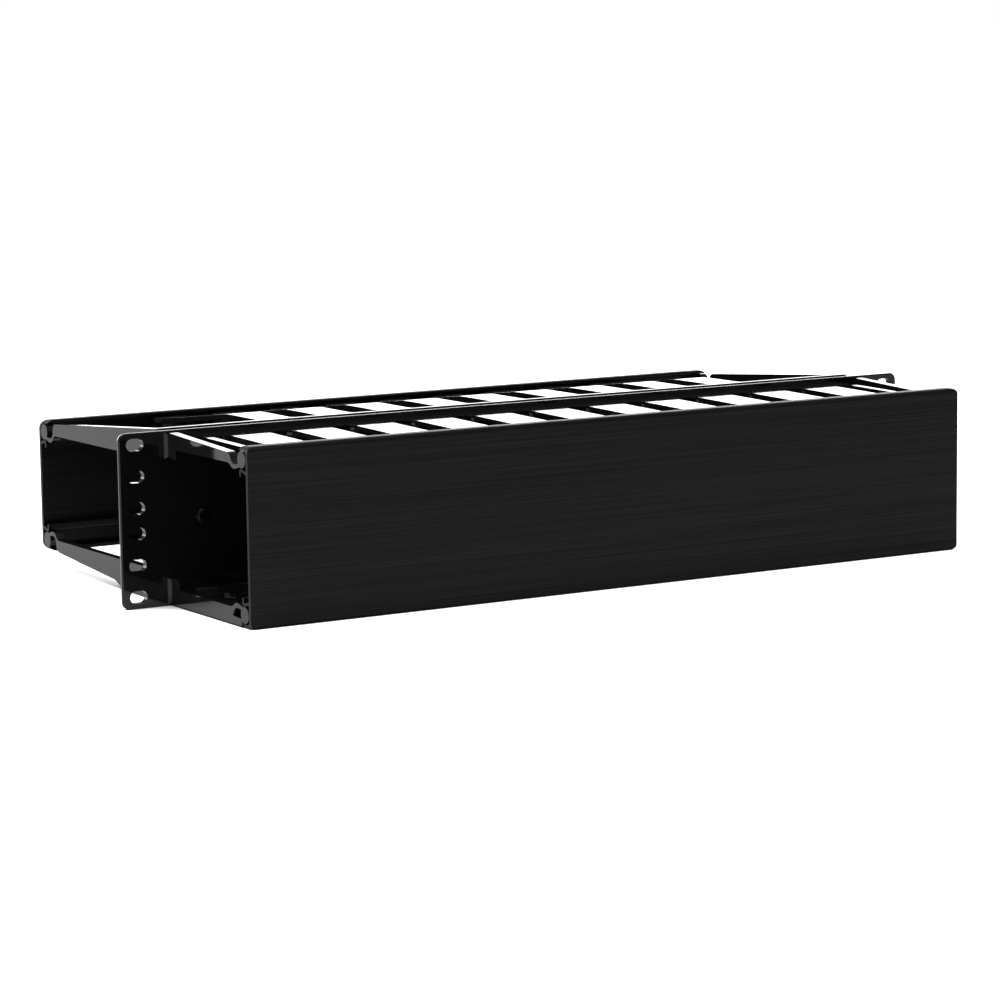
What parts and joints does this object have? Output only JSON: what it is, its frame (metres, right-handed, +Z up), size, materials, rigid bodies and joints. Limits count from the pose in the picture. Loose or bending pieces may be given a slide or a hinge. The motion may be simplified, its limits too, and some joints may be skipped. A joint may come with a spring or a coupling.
{
  "type": "horizontal cable manager",
  "caption": "Rack-mounted horizontal cable manager with finger channels in front of and behind its panel, and a flat hinged cover on each channel.",
  "frame": {"origin": "centre of the rack hole pattern, in the plane where the ears' back faces lie against the rack rails", "axes": "+X to the right seen from the front, +Y from the front to the back, +Z up"},
  "size_m": [0.4826, 0.2455, 0.0882],
  "materials": {
    "base_plastic": "glossy black moulding",
    "cover_plastic": "satin charcoal extrusion with fine lengthwise lines",
    "screw_steel": "black coated"
  },
  "bodies": {
    "base": {"front_panel": "base_plastic", "rear_wall": "base_plastic", "front_fingers_top": "base_plastic", "front_fingers_bottom": "base_plastic", "rear_fingers_top": "base_plastic", "rear_fingers_bottom": "base_plastic", "screw_1": "screw_steel", "screw_2": "screw_steel", "screw_3": "screw_steel", "screw_4": "screw_steel", "screw_5": "screw_steel"},
    "front_cover": {"front_cover": "cover_plastic"},
    "rear_cover": {"rear_cover": "cover_plastic"}
  },
  "joints": [
    {"name": "front_cover_hinge", "type": "hinge", "parent": "base", "child": "front_cover", "pos_m": [0, -0.08455, 0.0376], "axis": [-1, 0, 0], "range_deg": [0, 90]},
    {"name": "rear_cover_hinge", "type": "hinge", "parent": "base", "child": "rear_cover", "pos_m": [0, 0.14805, 0.0291], "axis": [1, 0, 0], "range_deg": [0, 90]}
  ]
}
